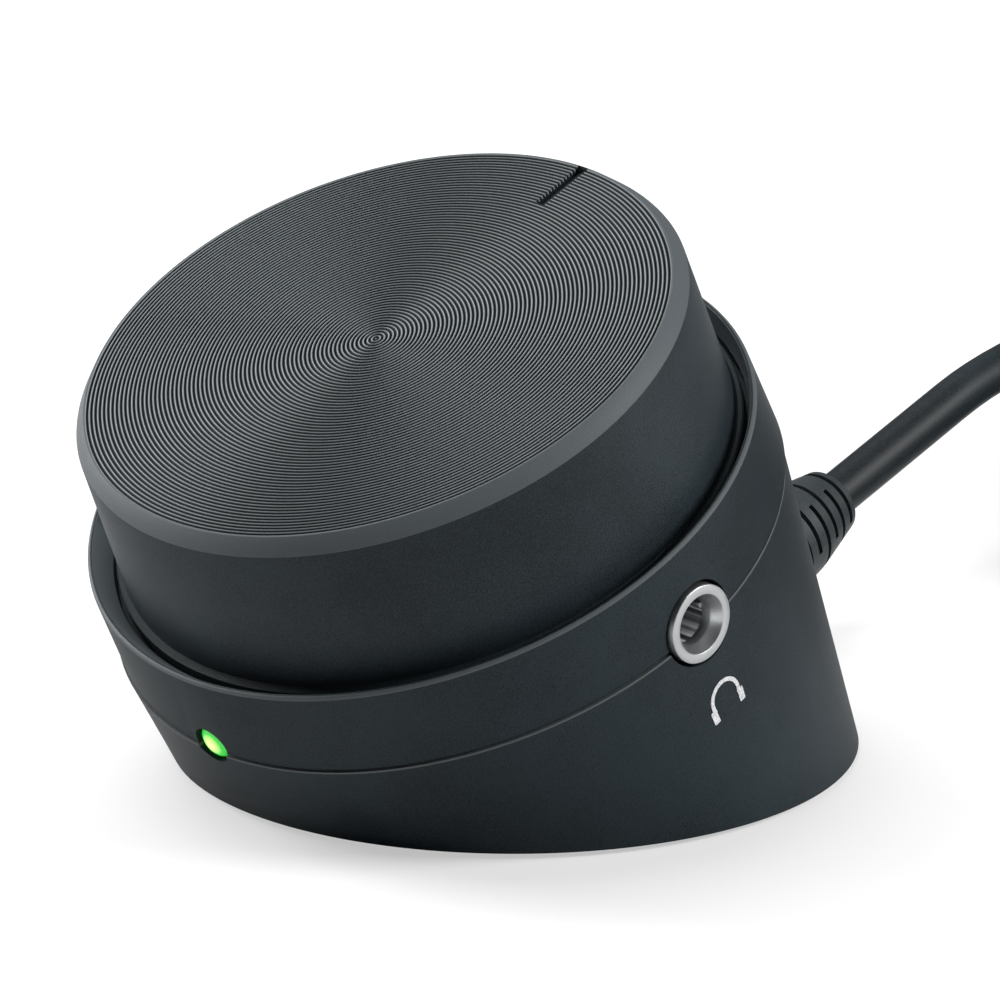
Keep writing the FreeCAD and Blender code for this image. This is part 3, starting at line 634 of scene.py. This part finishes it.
def reflectionStreakBore():  # painted reflections: pale and dark streaks that run along the bore
    material, tree, shader, place = newMaterial("reflectionStreakBore")
    x, y = intoAxes(tree, place, outward(holes["jack"]))[:2]
    reflectionStreaks = tree.nodes.new("ShaderNodeTexNoise")
    reflectionStreaks.noise_dimensions = "1D"
    reflectionStreaks.inputs["Scale"].default_value = jack["reflectionStreaks"]
    reflectionStreaks.inputs["Detail"].default_value = 3.0
    tree.links.new(work(tree, "ARCTAN2", y, x), reflectionStreaks.inputs["W"])
    dark, pale = jack["stops"]
    colour = addRamp(tree, reflectionStreaks.outputs["Fac"], (dark, jack["dark"]), (pale, jack["pale"]))
    tree.links.new(colour, shader.inputs["Base Color"])
    shader.inputs["Metallic"].default_value = jack["metallic"]
    shader.inputs["Roughness"].default_value = jack["rough"]
    return material


def addSprings():  # three contact leaves inside the bore
    out, height = jack["springAt"]
    leaves = []
    for turn in jack["springs"]:
        release()
        bpy.ops.mesh.primitive_cube_add(size=1)
        leaf = bpy.context.object
        leaf.scale = [side * mm for side in jack["springSize"]]
        settle(leaf)
        openAll()
        bpy.ops.mesh.bevel(offset=jack["springEase"] * mm, segments=2, affect="EDGES")
        bpy.ops.object.mode_set(mode="OBJECT")
        around = Matrix.Rotation(radians(turn), 4, "Z") @ Matrix.Translation((out * mm, 0, height * mm))
        leaves.append(settle(leaf, outward(holes["jack"]) @ around))
    release()
    for leaf in leaves:
        leaf.select_set(True)
    bpy.context.view_layer.objects.active = leaves[0]
    bpy.ops.object.join()
    leaves[0].name = "jackSprings"
    return wear(soften(leaves[0]), finishes["ring"])


def addJack():
    ring = settle(lathe("jackRing", jack["ring"], jack["ringSteps"], closed=True), outward(holes["jack"]))
    wear(soften(ring, jack["smooth"]), finishes["ring"])
    liner = settle(lathe("jackLiner", jack["liner"], jack["linerSteps"], closed=True), outward(holes["jack"]))
    wear(soften(liner, jack["smooth"]), finishes["bore"])
    return ring, liner, addSprings()


finishes["bore"] = reflectionStreakBore()
jackRing, jackLiner, jackSprings = addJack()
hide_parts("jack_ring")
for piece, name in ((jackRing, "bright_ring"), (jackLiner, "steel"), (jackSprings, "steel")):
    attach(piece, "base")
print("jack made")


# the power light's lens, its outline given as the jack's are
light = {
    "lens": [(0.0, 26.8), (0.45, 26.76), (0.9, 26.63), (1.25, 26.42), (1.46, 26.15), (1.5, 25.95),
             (1.5, 25.2), (0.0, 25.2)],
    "radius": 1.5, "steps": 64, "smooth": 40,
    "centre": (0.58, 0.78, 0.20), "edge": (0.02, 0.38, 0.03), "stops": (0.25, 0.70),
    "haze": 0.15, "hazeScale": 900.0, "strength": 1.0, "rough": 0.25,
}


def litLens():  # pale at its middle
    material, tree, shader, place = newMaterial("litLens")
    x, y = intoAxes(tree, place, outward(holes["light"]))[:2]
    haze = work(tree, "MULTIPLY", addNoise(tree, place, light["hazeScale"], 2.0), light["haze"])
    spread = work(tree, "ADD", work(tree, "DIVIDE", radiusOf(tree, x, y), light["radius"]), haze)
    centre, edge = light["stops"]
    colour = addRamp(tree, spread, (centre, light["centre"]), (edge, light["edge"]))
    tree.links.new(colour, shader.inputs["Emission Color"])
    tree.links.new(colour, shader.inputs["Base Color"])
    shader.inputs["Emission Strength"].default_value = light["strength"]
    shader.inputs["Roughness"].default_value = light["rough"]
    return material


def addLens():
    cap = settle(lathe("lensCap", light["lens"], light["steps"]), outward(holes["light"]))
    return wear(soften(cap, light["smooth"]), finishes["glow"])


finishes["glow"] = litLens()
lensCap = addLens()
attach(lensCap, "base")
print("lens set")


# headphone sign, printed on the wall below the jack, in mm and degrees
sign = {
    "angle": 353.6, "drop": 24.95, "wall": 26.9, "clear": 0.02, "thick": 0.03,
    "radius": 1.42, "line": 0.34, "from": -22, "to": 202, "steps": 40,
    "cup": (0.6, 1.15), "cupAt": (1.5, -0.86, 0.004), "cupLean": 3, "cupRound": 0.1, "cupInset": 0.08,
}


def addBand():  # the arc over the head, left as a flat strip
    arc = openPoint("headphoneSign")
    start = radians(sign["to"])  # spin runs clockwise
    inner, line = (sign["radius"] - sign["line"] / 2) * mm, sign["line"] * mm
    bpy.ops.transform.translate(value=(inner * cos(start), inner * sin(start), 0))
    bpy.ops.mesh.extrude_region_move(
        TRANSFORM_OT_translate={"value": (line * cos(start), line * sin(start), 0)})
    bpy.ops.mesh.select_all(action="SELECT")
    sweep = radians(sign["to"] - sign["from"])
    bpy.ops.mesh.spin(steps=sign["steps"], angle=sweep, center=(0, 0, 0), axis=(0, 0, 1))
    bpy.ops.object.mode_set(mode="OBJECT")
    return arc


def addCup(side):
    release()
    bpy.ops.mesh.primitive_plane_add(size=mm)
    cup = bpy.context.object
    cup.scale = (*sign["cup"], 1)
    settle(cup)
    openAll()
    bpy.ops.mesh.bevel(offset=sign["cupRound"] * mm, segments=3, affect="VERTICES")
    bpy.ops.object.mode_set(mode="OBJECT")
    out, up, lift = sign["cupAt"]
    lean = Matrix.Rotation(radians(-side * sign["cupLean"]), 4, "Z")
    settle(cup, Matrix.Translation((side * out * mm, up * mm, lift * mm)) @ lean)
    openAll()
    bpy.ops.mesh.inset(thickness=sign["cupInset"] * mm)
    bpy.ops.object.mode_set(mode="OBJECT")
    return cup


def addSign():
    arc = addBand()
    for side in (-1, 1):
        addCup(side)
        arc.select_set(True)
        bpy.context.view_layer.objects.active = arc
        bpy.ops.object.join()
    upright = Matrix.Rotation(pi / 2, 4, "Z")  # the sign's up is the deck's up
    settle(arc, outward(sign) @ Matrix.Translation((0, 0, sign["wall"] * mm)) @ upright)
    apply(arc, "SHRINKWRAP", target=nodes["lower_shell"], wrap_method="NEAREST_SURFACEPOINT",
          wrap_mode="ABOVE_SURFACE", offset=sign["clear"] * mm)
    apply(arc, "SOLIDIFY", thickness=sign["thick"] * mm, offset=0)
    openAll()
    bpy.ops.mesh.normals_make_consistent(inside=False)
    bpy.ops.object.mode_set(mode="OBJECT")
    return wear(arc, finishes["print"])


headphoneSign = addSign()
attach(headphoneSign, "base")
print("sign printed")


# the lower shell keeps its CAD shape, in the upper shell's plastic
# the seam colour is a painted highlight along the lower shell's upper edge
seam = {"line": -18.46, "paintedHighlight": (0.062, 0.070, 0.074)}  # mm in the deck's axes, and a linear colour


def paintSeamHighlight(material):  # a painted highlight along its upper edge, where light catches the seam
    tree = material.node_tree
    height = intoAxes(tree, findNode(tree, "TEX_COORD"), deckMatrix)[2]
    tint(material, work(tree, "GREATER_THAN", height, seam["line"]), seam["paintedHighlight"])
    return material


finishes["lower"] = paintSeamHighlight(casePlastic("lowerPlastic", upper["dark"], upper["light"], upper["specular"]))

dress = {
    "upper_shell": "shell", "lower_shell": "lower", "rubber_ring": "rubber", "ballast_plate": "steel",
    "case_screws": "steel", "knob_cap": "knob", "knob_hub": "inside", "pot_shaft": "brass",
    "pot_rotor": "inside", "pot_housing": "potMetal", "pot_track": "carbon", "pot_bushing": "brass",
    "pot_washer": "steel", "pot_nut": "steel", "main_board": "board", "board_screws": "steel",
    "board_chips": "chip", "board_resistors": "chip", "board_capacitors": "sleeve", "wire_socket": "white",
    "wire_plug": "white", "inner_wires": "wire", "jack_ring": "ring", "jack_body": "inside",
    "jack_contacts": "steel", "light_emitter": "white", "light_holder": "inside", "strain_relief": "relief",
    "cable_sheath": "jacket", "cable_crimp": "steel", "coil_tie": "rubber", "plug_grip": "relief",
    "plug_shell": "steel", "plug_core": "inside", "plug_pins": "gold", "light_pipe": "glow",
    "cable_run": "jacket", "cable_coil": "jacket", "cable_tail": "jacket",
}
for part, finish in dress.items():
    wear(nodes[part], finishes[finish])
print("parts dressed in", len(finishes), "finishes")


ground = {
    "size": 6, "drop": 0.0001,  # metres
    "spots": 30.0, "dark": (0.60, 0.60, 0.60), "pale": (0.62, 0.62, 0.62), "rough": 0.9,
    "lift": 0.5,  # share of plain white that the camera sees, which leaves the shadow
}


def addFloor():
    release()
    bpy.ops.mesh.primitive_plane_add(size=ground["size"], location=(0, 0, -ground["drop"]))
    obj = bpy.context.object
    obj.name = "floor"
    material, tree, shader, place = newMaterial("paleFloor")
    spots = addNoise(tree, place, ground["spots"], 2.0)
    colour = addRamp(tree, spots, (0.4, ground["dark"]), (0.6, ground["pale"]))
    tree.links.new(colour, shader.inputs["Base Color"])
    shader.inputs["Roughness"].default_value = ground["rough"]
    paper = tree.nodes.new("ShaderNodeEmission")
    path = tree.nodes.new("ShaderNodeLightPath")
    mix = tree.nodes.new("ShaderNodeMixShader")
    seen = work(tree, "MULTIPLY", path.outputs["Is Camera Ray"], ground["lift"])
    tree.links.new(seen, mix.inputs["Fac"])
    tree.links.new(shader.outputs[0], mix.inputs[1])
    tree.links.new(paper.outputs[0], mix.inputs[2])
    tree.links.new(mix.outputs[0], findNode(tree, "OUTPUT_MATERIAL").inputs["Surface"])
    wear(obj, material)


addFloor()
print("floor laid")
